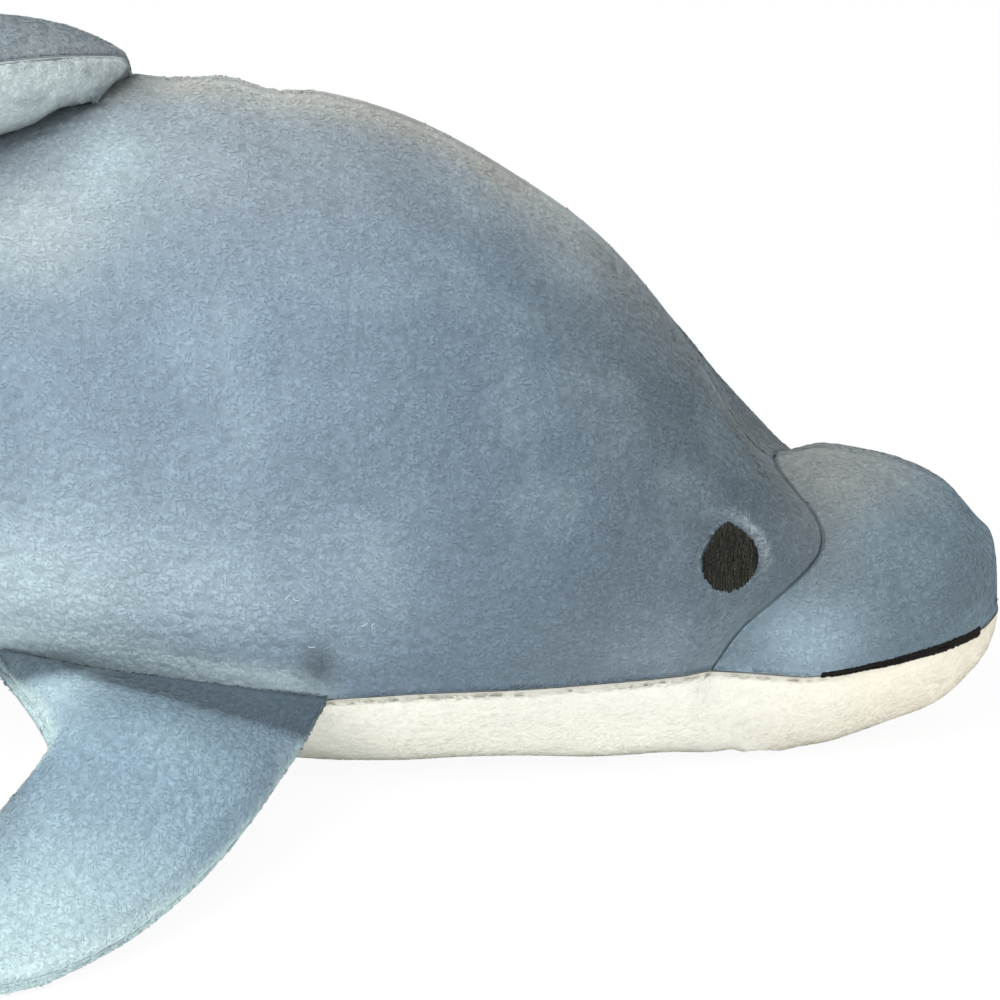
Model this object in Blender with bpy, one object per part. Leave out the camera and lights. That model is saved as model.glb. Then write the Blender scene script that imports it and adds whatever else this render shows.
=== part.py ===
"""A plush dolphin that rests on its chest, its flippers out to the sides and its tail curved down.

Panels of short-pile plush are sewn edge to edge and filled with loose fibre. Each panel is a
shell with the thickness of the cloth, cut along the real seams, and each filling is its own solid.
Metres, +Z up, +X towards the snout, +Y the toy's left side. The origin is on the surface that the
toy rests on, under the middle of its length.
"""

import math
from typing import NamedTuple

import bmesh
import bpy
import numpy as np
from mathutils import Vector
from mathutils.bvhtree import BVHTree

# Cloth, seams and filling
CLOTH = 0.0024  # backing and pressed pile
SEAM_GAP = 0.0003  # between two sewn edges
SEAT_GAP = 0.0006  # between a fin's root and the curved body that it is sewn to
FILL_GAP = 0.0008  # between the cloth and the fibre inside it

# Body
BODY_LENGTH = 0.462  # snout tip to tail seam
BODY_HEIGHT = 0.176
BODY_WIDTH = 0.156
SNOUT_SEAM_BULGE = 0.0130  # the snout seam runs forward over the cheek
SNOUT_SEAM_SWEEP = 0.018  # and back towards the white panel
SNOUT_SEAM_CURL = 2.2  # how late the bulge starts below the back seam
SNOUT_CREASE = 0.0030  # depth of the fold at the snout seam
SNOUT_CREASE_RINGS = 1.0  # its half width
SNOUT_CREASE_FADE = 0.85  # share of it that is gone at the white panel's seam
BELLY_CREASE = 0.0007  # depth of the fold at the white panel's seam
BELLY_POWER = 0.86  # under the widest line, how flat the belly lies
FLANK_POWER = 0.80  # and how upright the flanks stand
NOSE_KNOT = 0.10  # the panels stop this far from the point where their three seams meet

# Back fin, flopped over to the right
FIN_ROOT_FRONT = 0.2265  # from the snout tip, along the body
FIN_ROOT_LENGTH = 0.105
FIN_REACH = 0.078
FIN_RISE = 0.0125
FIN_SWEEP = 0.070
FIN_FULLNESS = 0.0155  # half thickness of the filling at its fullest

# Flippers
FLIPPER_ROOT_FRONT = 0.1765  # from the snout tip, along the body
FLIPPER_ROOT_LENGTH = 0.084
FLIPPER_REACH = 0.095
FLIPPER_SWEEP = 0.077
FLIPPER_FULLNESS = 0.0095
FLIPPER_TIP_HEIGHT = 0.0034

# Tail fluke
FLUKE_SPAN = 0.176
FLUKE_CHORD = 0.034  # at the middle, between the tail seam and the notch
FLUKE_REACH = 0.050  # from the tail seam to the lobes' rear edge
FLUKE_FULLNESS = 0.0070
FLUKE_TIP_HEIGHT = 0.0031

# Embroidery
EYE_FROM_TIP = 0.0755
EYE_HEIGHT = 0.065
EYE_LONG = 0.0173
EYE_WIDE = 0.0162
EYE_TAPER = 0.10  # how much narrower its top is
EYE_STEPS = 24
STITCH_HEIGHT = 0.0010
MOUTH_FRONT = 0.0075  # from the snout tip
MOUTH_BACK = 0.0500
MOUTH_THICK = 0.0010
MOUTH_THIN = 0.0005
MOUTH_STEPS = 12

NOSE_X = (BODY_LENGTH + SEAM_GAP + FLUKE_REACH) / 2
RINGS_PER_STATION = 2
UPPER_STEPS = 10  # from the back seam to the white panel's seam
LOWER_STEPS = 6  # from that seam to the middle of the belly
SPAN_STEPS = 2  # in each gap between two rows of a fin
CHORD_STEPS = 8  # across a fin
CHORD_TRIM = 0.10  # crowds the chord's points towards both seams
HOLD_ROWS = 4  # rows over which a fin leaves the line of its root seam
HOLD_POWER = 1.5
FIBRE_INSET = 0.03  # share of the chord that a fin's filling stays off its seams
CREASE_ANGLE = 50  # degrees between two faces that shade as a sharp rim


class Station(NamedTuple):
    """One cross-section. Heights are shares of BODY_HEIGHT, `half` of half the BODY_WIDTH."""

    along: float  # share of BODY_LENGTH from the snout tip
    top: float
    bottom: float
    half: float
    widest: float  # height at which the section is widest
    seam: float  # height of the white panel's seam
    ridge: float  # how pointed the back seam stands, 0 to 1
    slant: float  # how far the ring follows the slanted snout seam, 0 to 1


STATIONS = (
    Station(0.000, 0.186, 0.186, 0.00, 0.186, 0.186, 0.00, 0.0),
    Station(0.004, 0.290, 0.132, 0.15, 0.200, 0.186, 0.05, 0.0),
    Station(0.014, 0.326, 0.092, 0.27, 0.205, 0.180, 0.10, 0.1),
    Station(0.032, 0.377, 0.046, 0.38, 0.208, 0.173, 0.12, 0.3),
    Station(0.056, 0.407, 0.018, 0.455, 0.210, 0.160, 0.14, 0.6),
    Station(0.082, 0.426, -0.006, 0.510, 0.212, 0.154, 0.16, 0.8),
    Station(0.108, 0.436, -0.020, 0.545, 0.222, 0.168, 0.18, 0.95),
    Station(0.131, 0.436, -0.028, 0.580, 0.236, 0.184, 0.20, 1.0),
    Station(0.150, 0.464, -0.024, 0.650, 0.262, 0.189, 0.25, 0.9),
    Station(0.185, 0.615, -0.017, 0.722, 0.300, 0.186, 0.33, 0.6),
    Station(0.228, 0.755, -0.018, 0.800, 0.345, 0.188, 0.36, 0.3),
    Station(0.275, 0.850, -0.012, 0.870, 0.385, 0.188, 0.36, 0.1),
    Station(0.335, 0.940, -0.014, 0.935, 0.420, 0.192, 0.34, 0.0),
    Station(0.400, 0.988, -0.012, 0.985, 0.450, 0.198, 0.32, 0.0),
    Station(0.470, 1.000, 0.016, 1.000, 0.490, 0.216, 0.30, 0.0),
    Station(0.540, 0.987, 0.110, 0.985, 0.540, 0.248, 0.30, 0.0),
    Station(0.610, 0.950, 0.190, 0.925, 0.570, 0.300, 0.28, 0.0),
    Station(0.690, 0.868, 0.238, 0.810, 0.560, 0.338, 0.26, 0.0),
    Station(0.770, 0.735, 0.235, 0.655, 0.490, 0.326, 0.22, 0.0),
    Station(0.850, 0.545, 0.180, 0.480, 0.365, 0.262, 0.16, 0.0),
    Station(0.920, 0.350, 0.110, 0.335, 0.230, 0.175, 0.10, 0.0),
    Station(0.970, 0.225, 0.070, 0.255, 0.148, 0.118, 0.05, 0.0),
    Station(1.000, 0.170, 0.064, 0.230, 0.117, 0.100, 0.00, 0.0),
)
SNOUT_SEAM = 7  # the station at the snout seam


def smooth_rows(rows, steps, before=None):
    """Rows of numbers with `steps` Catmull-Rom steps in each gap.

    `before` is the row that would come ahead of the first. Without it the line runs on."""
    rows = np.asarray(rows, float)
    before = 2 * rows[0] - rows[1] if before is None else before
    p = np.vstack([before, rows, 2 * rows[-1] - rows[-2]])
    out = []
    for a, b, c, d in zip(p, p[1:], p[2:], p[3:]):
        for t in np.arange(steps) / steps:
            out.append(0.5 * (2 * b + (c - a) * t + (2 * a - 5 * b + 4 * c - d) * t**2
                              + (3 * b - a - 3 * c + d) * t**3))
    return np.array([*out, rows[-1]])


def section(ring, side):
    """One ring's points from the back seam (v 0) by the white panel's seam (v 1) to the belly (v 2)."""
    along, top, bottom, half, widest, seam, ridge, slant = ring
    half = half * BODY_WIDTH / 2
    rise = (top - widest) * BODY_HEIGHT
    fall = (widest - bottom) * BODY_HEIGHT
    drop = np.clip((widest - seam) / max(widest - bottom, 1e-9), 0.0, 0.98)
    seam_angle = math.pi / 2 + math.asin(drop ** (1 / BELLY_POWER))
    v = np.concatenate([np.linspace(0, 1, UPPER_STEPS + 1),
                        np.linspace(1, 2, LOWER_STEPS + 1)[1:]])
    angle = np.where(v <= 1, seam_angle * v, seam_angle + (math.pi - seam_angle) * (v - 1))
    up = np.cos(angle)
    above = (1 - ridge) * up + ridge * (1 - 2 * angle / math.pi)
    below = -np.abs(up) ** BELLY_POWER
    y = half * np.where(up >= 0, np.sin(angle), np.abs(np.sin(angle)) ** FLANK_POWER)
    z = widest * BODY_HEIGHT + np.where(up >= 0, rise * above, fall * below)
    z = np.maximum(z, 0.0)
    down = np.clip(v, 0, 1)
    fade = np.clip(2 - v, 0, 1)
    shift = SNOUT_SEAM_BULGE * np.sin(math.pi * down) ** SNOUT_SEAM_CURL
    shift -= SNOUT_SEAM_SWEEP * down**3 * fade
    x = NOSE_X - along * BODY_LENGTH + slant * shift
    return np.stack([x, side * y, z], axis=-1)


def body_grid(side):
    """The body's right (side -1) or left (side 1) half: its points and outward normals."""
    mirrored = 2 * np.array(STATIONS[0]) - STATIONS[1]
    mirrored[0] = STATIONS[1].along
    rings = smooth_rows(STATIONS, RINGS_PER_STATION, mirrored)
    p = np.array([section(ring, side) for ring in rings])
    p[0] += (p[1] - p[0]) * NOSE_KNOT * (0, 1, 1)
    n = grid_normals(p, side)
    n[:, 0, 1] = 0.0
    n[:, -1, 1] = 0.0
    n /= np.linalg.norm(n, axis=-1, keepdims=True)
    seam_ring = SNOUT_SEAM * RINGS_PER_STATION
    near = np.exp(-((np.arange(len(p)) - seam_ring) / SNOUT_CREASE_RINGS) ** 2)
    v = np.concatenate([np.linspace(0, 1, UPPER_STEPS + 1), np.ones(LOWER_STEPS)])
    low = np.clip(2 * v - 0.9, 0, 1)
    fold = near[:, None] * (1 - SNOUT_CREASE_FADE * low)[None, :] * SNOUT_CREASE
    fold[:, UPPER_STEPS + 1:] = 0.0
    fold[2:-2, UPPER_STEPS] += BELLY_CREASE
    return p - n * fold[..., None], n


def grid_normals(p, side):
    """Outward normals of a half body grid by finite differences."""
    along = np.gradient(p, axis=0)
    around = np.gradient(p, axis=1)
    n = np.cross(around, along) * side
    n[0] = (1.0, 0.0, 0.0)
    return n / np.maximum(np.linalg.norm(n, axis=-1, keepdims=True), 1e-12)


def trim(outer, inner, edge, beside):
    """Draws one edge of a panel back by half a seam gap, towards the points beside it.

    `edge` and `beside` pick a row or a column of each grid."""
    for grid in (outer, inner):
        step = grid[beside] - grid[edge]
        grid[edge] += step / np.linalg.norm(step, axis=-1, keepdims=True) * SEAM_GAP / 2


def new_object(name, verts, faces, look):
    """A mesh object with outward faces, smooth except at its sharp rims."""
    bm = bmesh.new()
    made = [bm.verts.new(v) for v in verts]
    for face in faces:
        bm.faces.new([made[i] for i in face])
    bmesh.ops.recalc_face_normals(bm, faces=bm.faces)
    if bm.calc_volume(signed=True) < 0:
        bmesh.ops.reverse_faces(bm, faces=bm.faces)
    mesh = bpy.data.meshes.new(name)
    bm.to_mesh(mesh)
    bm.free()
    mesh.shade_smooth()
    mesh.set_sharp_from_angle(angle=math.radians(CREASE_ANGLE))
    mesh.materials.append(look)
    obj = bpy.data.objects.new(name, mesh)
    toy.objects.link(obj)
    return obj


def shell(name, outer, inner, look):
    """A panel: the solid between an outer and an inner grid of the same size."""
    rows, cols = outer.shape[:2]
    verts = np.concatenate([outer.reshape(-1, 3), inner.reshape(-1, 3)])
    back = rows * cols

    def at(i, j):
        return i * cols + j

    faces = []
    for i in range(rows - 1):
        for j in range(cols - 1):
            quad = [at(i, j), at(i + 1, j), at(i + 1, j + 1), at(i, j + 1)]
            faces.append(quad)
            faces.append([back + k for k in reversed(quad)])
    rim = [at(i, 0) for i in range(rows)] + [at(rows - 1, j) for j in range(1, cols)]
    rim += [at(i, cols - 1) for i in range(rows - 2, -1, -1)]
    rim += [at(0, j) for j in range(cols - 2, 0, -1)]
    for a, b in zip(rim, rim[1:] + rim[:1]):
        faces.append([b, a, back + a, back + b])
    return new_object(name, verts, faces, look)


def tube_solid(name, rings, look, start=None, end=None):
    """A solid from closed rings of points, with a point or a flat fan at each end."""
    count = rings.shape[1]
    verts = list(rings.reshape(-1, 3))
    faces = []
    for i in range(len(rings) - 1):
        for j in range(count):
            k = (j + 1) % count
            faces.append([i * count + j, i * count + k, (i + 1) * count + k, (i + 1) * count + j])
    for row, tip in ((0, start), (len(rings) - 1, end)):
        verts.append(rings[row].mean(axis=0) if tip is None else tip)
        for j in range(count):
            faces.append([row * count + j, row * count + (j + 1) % count, len(verts) - 1])
    return new_object(name, verts, faces, look)


def build_body():
    """The two back panels, the two snout panels, the white gusset and the filling."""
    seam_ring = SNOUT_SEAM * RINGS_PER_STATION
    halves = {}
    for side, word in ((-1, "right"), (1, "left")):
        p, n = body_grid(side)
        q = p - n * CLOTH
        q[-1, :, 0] = p[-1, :, 0]
        halves[side] = (p, n, q)
        for name, first, last, look in (("snout_panel_", 0, seam_ring, SNOUT_LOOK),
                                        ("back_panel_", seam_ring, len(p) - 1, BACK_LOOK)):
            outer = p[first:last + 1, :UPPER_STEPS + 1].copy()
            inner = q[first:last + 1, :UPPER_STEPS + 1].copy()
            trim(outer, inner, np.s_[:, 0], np.s_[:, 1])
            trim(outer, inner, np.s_[:, -1], np.s_[:, -2])
            trim(outer, inner, *((-1, -2) if last == seam_ring else (0, 1)))
            shell(name + word, outer, inner, look)

    def across(left, right):
        return np.concatenate([left[:, UPPER_STEPS:], right[:, UPPER_STEPS:-1][:, ::-1]], axis=1)

    outer = across(halves[1][0], halves[-1][0])
    inner = across(halves[1][2], halves[-1][2])
    trim(outer, inner, np.s_[:, 0], np.s_[:, 1])
    trim(outer, inner, np.s_[:, -1], np.s_[:, -2])
    shell("belly_panel", outer, inner, BELLY_LOOK)

    def inside(side):
        p, n, _ = halves[side]
        return p - n * (CLOTH + FILL_GAP)

    picked = [*range(0, UPPER_STEPS + LOWER_STEPS, 2), UPPER_STEPS + LOWER_STEPS]
    left, right = inside(1)[:, picked], inside(-1)[:, picked]
    loop = np.concatenate([left, right[:, 1:-1][:, ::-1]], axis=1)[1:-1]
    tube_solid("body_stuffing", loop, FIBRE_LOOK)


def surface_tree():
    """The whole body's outer surface, to find points on it."""
    points, quads = [], []
    for side in (-1, 1):
        p, _ = body_grid(side)
        rows, cols = p.shape[:2]
        quads += [[len(points) + i * cols + j, len(points) + (i + 1) * cols + j,
                   len(points) + (i + 1) * cols + j + 1, len(points) + i * cols + j + 1]
                  for i in range(rows - 1) for j in range(cols - 1)]
        points += [Vector(q) for q in p.reshape(-1, 3)]
    return BVHTree.FromPolygons(points, quads)


def border_points(side):
    """The white panel's seam and its outward normals."""
    p, n = body_grid(side)
    return p[:, UPPER_STEPS], n[:, UPPER_STEPS]


def at_x(points, normals, x):
    """The point and normal where a line of points passes a given x."""
    order = np.argsort(points[:, 0])
    p = np.array([np.interp(x, points[order, 0], points[order, k]) for k in range(3)])
    n = np.array([np.interp(x, points[order, 0], normals[order, k]) for k in range(3)])
    return p, n / np.linalg.norm(n)


def fin_sheets(lead, trail, full, blunt, root):
    """The mid surface, its normals, half thickness and chord shares, from edge lines along the span.

    `blunt` thickens the front edge, and `root` is the seam that the first row follows."""
    c = 0.5 - 0.5 * np.cos(math.pi * np.linspace(CHORD_TRIM, 1 - CHORD_TRIM, CHORD_STEPS + 1))
    c = (c - c[0]) / (c[-1] - c[0])
    mid = trail[:, None] * (1 - c)[None, :, None] + lead[:, None] * c[None, :, None]
    if root is not None:
        hold = np.clip(1 - np.arange(len(mid)) / HOLD_ROWS, 0, 1) ** HOLD_POWER
        mid += hold[:, None, None] * (root(c) - mid[0])[None]
    span = np.gradient(mid, axis=0)
    chord = np.broadcast_to((lead - trail)[:, None], mid.shape)
    n = np.cross(span, chord)
    n /= np.maximum(np.linalg.norm(n, axis=-1, keepdims=True), 1e-12)
    arch = np.sqrt(4 * c * (1 - c))
    half = CLOTH + SEAM_GAP / 2 + full[:, None] * arch[None, :]
    if blunt is not None:
        half = half + blunt[:, None] * (c**1.5)[None, :]
    return mid, n, half, c


def settle(grid, away, gap, tree):
    """Lays the first row of points on the body and lifts out the others that would lie in it.

    `away` points off the body, and `gap` is the distance kept from its surface."""
    for i, j in np.ndindex(grid.shape[:2]):
        start = Vector(grid[i, j] + away * BODY_HEIGHT)
        hit, normal, _, _ = tree.ray_cast(start, Vector(-away))
        if hit is None:
            continue
        normal = normal if normal.dot(Vector(away)) > 0 else -normal
        laid = np.array(hit + normal * gap)
        if i == 0 or np.dot(grid[i, j] - laid, away) < 0:
            grid[i, j] = laid


def build_fin(names, lead, trail, full, looks, blunt=None, root=None, away=None):
    """The upper and lower skins of a stuffed fin and its filling.

    A fin that is sewn to the body's curved side has a `root` line and the way `away` from it."""
    mid, n, half, c = fin_sheets(lead, trail, full, blunt, root)
    inners = []
    for name, sign, look in ((names[0], 1, looks[0]), (names[1], -1, looks[1])):
        outer = mid + sign * n * half[..., None]
        inner = mid + sign * n * (half - CLOTH)[..., None]
        if away is not None:
            settle(outer, away, SEAT_GAP, body_tree)
            settle(inner, away, SEAT_GAP, body_tree)
            apart = np.linalg.norm(inner[1:] - outer[1:], axis=-1, keepdims=True)
            inner[1:] += np.maximum(CLOTH - apart, 0) * away * (sign < 0)
        shell(name, outer, inner, look)
        inners.append(inner)
    inset = (c > FIBRE_INSET) & (c < 1 - FIBRE_INSET)
    upper, lower = inners[0][2:-3][:, inset], inners[1][2:-3][:, inset]
    across = lower - upper
    share = np.minimum(FILL_GAP / np.linalg.norm(across, axis=-1, keepdims=True), 0.4)
    shell(names[2], upper + across * share, lower - across * share, FIBRE_LOOK)


# Shape of a flipper along its span, in shares: reach, drop, front edge's sweep, rear edge's sweep,
# rear edge's reach, rear edge's drop, fullness. The last row is the tip.
FLIPPER_ROWS = (
    (0.00, 0.00, 0.00, 0.00, 0.00, 0.00, 0.14),
    (0.10, 0.27, 0.07, -0.06, 0.10, 0.04, 0.60),
    (0.22, 0.46, 0.15, -0.20, 0.30, 0.15, 1.00),
    (0.40, 0.65, 0.255, -0.25, 0.42, 0.26, 1.00),
    (0.58, 0.81, 0.385, -0.16, 0.56, 0.42, 0.84),
    (0.80, 0.94, 0.585, -0.03, 0.74, 0.64, 0.56),
    (0.95, 1.00, 0.82, 0.05, 0.90, 0.86, 0.30),
    (1.00, 1.00, 1.01, 0.02, 1.00, 0.99, 0.06),
)


def build_flipper(side, word):
    """One flipper, sewn into the white panel's seam, spread out, down and back."""
    line, normals = border_points(side)
    front = NOSE_X - FLIPPER_ROOT_FRONT
    rear = front - FLIPPER_ROOT_LENGTH
    stand_off = SEAM_GAP + BELLY_CREASE

    def seated(x):
        p, n = at_x(line, normals, x)
        return p + n * stand_off

    def root_line(c):
        return np.array([seated(rear + (front - rear) * t) for t in c])

    lead_root, trail_root = seated(front), seated(rear)
    rows = smooth_rows(FLIPPER_ROWS, SPAN_STEPS)
    reach, drop, sweep, rear_sweep, rear_reach, rear_drop, full = rows.T
    down = lead_root[2] - FLIPPER_TIP_HEIGHT
    lead = lead_root + np.stack([-sweep * FLIPPER_SWEEP, side * reach * FLIPPER_REACH,
                                 -drop * down], axis=-1)
    rear_down = trail_root[2] - FLIPPER_TIP_HEIGHT
    trail = trail_root + np.stack([-rear_sweep * FLIPPER_SWEEP,
                                   side * rear_reach * FLIPPER_REACH, -rear_drop * rear_down],
                                  axis=-1)
    names = [f"flipper_upper_{word}", f"flipper_lower_{word}", f"flipper_stuffing_{word}"]
    if side > 0:
        lead, trail = trail, lead
    _, away = at_x(line, normals, (front + rear) / 2)
    build_fin(names, lead, trail, full * FLIPPER_FULLNESS, (FLIPPER_LOOK, FLIPPER_LOOK),
              root=root_line if side < 0 else lambda c: root_line(1 - c), away=away)


# Shape of the back fin along its span, in shares: reach, rise, front edge's sweep, rear edge's
# sweep, rear edge's rise towards the tip, fullness. The last row is the tip.
FIN_ROWS = (
    (0.00, 0.00, 0.00, 0.00, 0.00, 0.50),
    (0.10, 0.50, 0.03, 0.00, 0.30, 0.85),
    (0.30, 0.85, 0.20, -0.08, 0.58, 1.00),
    (0.55, 1.00, 0.48, -0.15, 0.80, 0.94),
    (0.78, 0.90, 0.76, -0.15, 0.93, 0.72),
    (0.94, 0.75, 1.02, -0.12, 1.00, 0.42),
    (1.00, 0.65, 1.24, -0.18, 1.00, 0.10),
)


def build_back_fin():
    """The back fin, sewn into the back seam and flopped over to the right."""
    p, n = body_grid(-1)
    ridge, up = p[:, 0], n[:, 0]
    front = NOSE_X - FIN_ROOT_FRONT
    rear = front - FIN_ROOT_LENGTH

    def seated(x):
        q, m = at_x(ridge, up, x)
        return q + m * SEAM_GAP

    def root_line(c):
        return np.array([seated(rear + (front - rear) * t) for t in c])

    rows = smooth_rows(FIN_ROWS, SPAN_STEPS)
    reach, rise, sweep, rear_sweep, rear_rise, full = rows.T
    lead_root, trail_root = seated(front), seated(rear)
    lead = lead_root + np.stack([-sweep * FIN_SWEEP, -reach * FIN_REACH, rise * FIN_RISE], axis=-1)
    climb = lead[-1, 2] - trail_root[2]
    trail = trail_root + np.stack([-rear_sweep * FIN_SWEEP, -reach * FIN_REACH,
                                   rear_rise * climb], axis=-1)
    build_fin(["dorsal_fin_panel_left", "dorsal_fin_panel_right", "dorsal_fin_stuffing"],
              lead, trail, full * FIN_FULLNESS, (FIN_LOOK, FIN_LOOK), root=root_line,
              away=np.array((0.0, 0.0, 1.0)))


# Shape of one lobe of the fluke from the middle out, in shares: distance out, front edge's sweep,
# rear edge's reach between the notch and the lobe's rear, droop, fullness.
FLUKE_ROWS = (
    (0.00, 0.00, 0.00, 0.00, 0.95),
    (0.20, 0.00, 0.42, 0.03, 1.00),
    (0.40, 0.14, 0.82, 0.14, 0.94),
    (0.62, 0.36, 1.00, 0.40, 0.78),
    (0.82, 0.60, 1.00, 0.72, 0.50),
    (0.95, 0.80, 0.98, 0.94, 0.22),
    (1.00, 0.93, 0.96, 1.00, 0.04),
)


def build_fluke():
    """The tail fluke, sewn flat across the end of the tail."""
    end = STATIONS[-1]
    seam_x = NOSE_X - BODY_LENGTH - SEAM_GAP
    seam_z = end.widest * BODY_HEIGHT
    tail_half = end.half * BODY_WIDTH / 2
    tail_rise = (end.top - end.bottom) / 2 * BODY_HEIGHT
    lobe = smooth_rows(FLUKE_ROWS, SPAN_STEPS)
    rows = np.concatenate([lobe[:0:-1] * (-1, 1, 1, 1, 1), lobe])
    out, sweep, rear, droop, full = rows.T
    sweep = np.maximum(sweep, 0)
    y = out * FLUKE_SPAN / 2
    z = seam_z - droop * (seam_z - FLUKE_TIP_HEIGHT)
    lead = np.stack([seam_x - sweep * FLUKE_REACH, y, z], axis=-1)
    trail = np.stack([seam_x - FLUKE_CHORD - rear * (FLUKE_REACH - FLUKE_CHORD), y, z], axis=-1)
    inside = np.clip(1 - (y / tail_half) ** 2, 0, 1)
    blunt = np.maximum(0, tail_rise * np.sqrt(inside) - CLOTH)
    build_fin(["tail_fluke_lower", "tail_fluke_upper", "tail_fluke_stuffing"],
              lead, trail, full * FLUKE_FULLNESS, (FLUKE_LOOK, FLUKE_LOOK), blunt=blunt)


def build_eye(side, word):
    """The embroidered eye: an oval patch, narrow at the top, that follows the head."""
    aim = Vector((0, -side, 0))
    x, z = NOSE_X - EYE_FROM_TIP, EYE_HEIGHT
    centre, normal, _, _ = body_tree.ray_cast(Vector((x, side * BODY_WIDTH, z)), aim)
    normal = normal if normal.y * side > 0 else -normal
    across = Vector((0, 0, 1)).cross(normal).normalized()
    upward = normal.cross(across)

    def lifted(r, turn, lift):
        wide = r * EYE_WIDE / 2 * math.sin(turn) * (1 - EYE_TAPER * math.cos(turn))
        long = r * EYE_LONG / 2 * math.cos(turn)
        start = centre + across * wide + upward * long + normal * EYE_LONG
        hit, face_normal, _, _ = body_tree.ray_cast(start, -normal)
        face_normal = face_normal if face_normal.dot(normal) > 0 else -face_normal
        return np.array(hit + normal * lift)

    turns = [2 * math.pi * k / EYE_STEPS for k in range(EYE_STEPS)]
    levels = [(0.5, SEAM_GAP), (1.0, SEAM_GAP), (1.0, SEAM_GAP + STITCH_HEIGHT * 0.4),
              (0.9, SEAM_GAP + STITCH_HEIGHT * 0.9), (0.5, SEAM_GAP + STITCH_HEIGHT)]
    rings = np.array([[lifted(r, turn, lift) for turn in turns] for r, lift in levels])
    tube_solid(f"eye_{word}", rings, EYE_LOOK, start=lifted(0, 0, SEAM_GAP),
               end=lifted(0, 0, SEAM_GAP + STITCH_HEIGHT))


def build_mouth(side, word):
    """The embroidered mouth line, laid along the white panel's seam."""
    line, normals = border_points(side)
    xs = np.linspace(NOSE_X - MOUTH_BACK, NOSE_X - MOUTH_FRONT, MOUTH_STEPS)
    curve = bpy.data.curves.new(f"mouth_{word}", "CURVE")
    curve.dimensions = "3D"
    curve.bevel_depth = 1.0
    curve.bevel_resolution = 2
    curve.use_fill_caps = True
    spline = curve.splines.new("POLY")
    spline.points.add(len(xs) - 1)
    for point, x, share in zip(spline.points, xs, np.linspace(0, 1, len(xs))):
        p, n = at_x(line, normals, x)
        radius = MOUTH_THIN + (MOUTH_THICK - MOUTH_THIN) * share
        point.co = (*(p + n * (radius + SEAM_GAP)), 1.0)
        point.radius = radius
    curve.materials.append(MOUTH_LOOK)
    toy.objects.link(bpy.data.objects.new(f"mouth_{word}", curve))


def look(name, red, green, blue, roughness):
    """A Principled material with the part's colour (linear), roughness and no metal."""
    made = bpy.data.materials.new(name)
    made.use_nodes = True
    made.diffuse_color = (red, green, blue, 1.0)
    shader = made.node_tree.nodes["Principled BSDF"]
    shader.inputs["Base Color"].default_value = (red, green, blue, 1.0)
    shader.inputs["Roughness"].default_value = roughness
    shader.inputs["Metallic"].default_value = 0.0
    return made


for old in list(bpy.data.objects):
    bpy.data.objects.remove(old, do_unlink=True)
toy = bpy.data.collections.new("plush_dolphin")
bpy.context.scene.collection.children.link(toy)
BACK_LOOK = look("blue_grey_plush_back", 0.20, 0.27, 0.34, 0.95)
SNOUT_LOOK = look("blue_grey_plush_snout", 0.19, 0.25, 0.31, 0.95)
FIN_LOOK = look("blue_grey_plush_fin", 0.24, 0.30, 0.34, 0.95)
FLIPPER_LOOK = look("blue_grey_plush_flipper", 0.32, 0.43, 0.50, 0.95)
FLUKE_LOOK = look("blue_grey_plush_fluke", 0.25, 0.33, 0.39, 0.95)
BELLY_LOOK = look("white_plush", 0.88, 0.87, 0.80, 0.95)
EYE_LOOK = look("dark_olive_thread", 0.030, 0.035, 0.027, 0.60)
MOUTH_LOOK = look("black_thread", 0.030, 0.028, 0.024, 0.60)
FIBRE_LOOK = look("white_fibre", 0.85, 0.85, 0.83, 1.00)
body_tree = surface_tree()
build_body()
build_back_fin()
build_fluke()
for flank, flank_word in ((-1, "right"), (1, "left")):
    build_flipper(flank, flank_word)
    build_eye(flank, flank_word)
    build_mouth(flank, flank_word)
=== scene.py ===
"""Looks of a plush dolphin: skins of short-pile plush over fibre, with stitched eyes and mouth.

Metres, +Z up, +X towards the snout and +Y to the toy's left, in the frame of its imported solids.
"""

import logging
import math
from collections.abc import Callable
from dataclasses import dataclass, field
from enum import Enum

import bmesh
import bpy
import numpy as np
from bpy.types import ID, Material, Mesh, Node, NodeSocket, NodeTree, Object
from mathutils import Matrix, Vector, kdtree, noise
from mathutils.bvhtree import BVHTree


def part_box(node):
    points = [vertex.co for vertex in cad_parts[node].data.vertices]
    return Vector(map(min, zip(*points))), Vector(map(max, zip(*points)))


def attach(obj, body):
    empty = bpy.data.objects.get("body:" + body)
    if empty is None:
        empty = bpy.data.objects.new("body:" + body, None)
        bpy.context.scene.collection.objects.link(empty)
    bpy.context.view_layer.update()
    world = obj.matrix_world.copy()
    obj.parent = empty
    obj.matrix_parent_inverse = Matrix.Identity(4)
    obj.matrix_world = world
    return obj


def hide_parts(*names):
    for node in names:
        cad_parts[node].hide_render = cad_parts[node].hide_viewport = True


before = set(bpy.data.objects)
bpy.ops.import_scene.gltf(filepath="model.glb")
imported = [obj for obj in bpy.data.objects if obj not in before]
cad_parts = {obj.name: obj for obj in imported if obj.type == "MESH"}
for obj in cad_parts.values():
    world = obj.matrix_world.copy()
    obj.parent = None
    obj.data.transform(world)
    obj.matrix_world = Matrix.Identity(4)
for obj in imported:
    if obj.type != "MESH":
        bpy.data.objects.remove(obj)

MM = 0.001
SHARP = math.radians(50)  # an edge that turns more is a sewn rim
CLUMP = 1.15 * MM  # radius of a clump of pile
THREAD = 0.27 * MM  # radius of the embroidery thread
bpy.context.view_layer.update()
log = logging.getLogger("plush_dolphin")


class Flank(Enum):
    """The toy's two sides, with the sign of Y on each."""

    RIGHT = -1
    LEFT = 1


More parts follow.
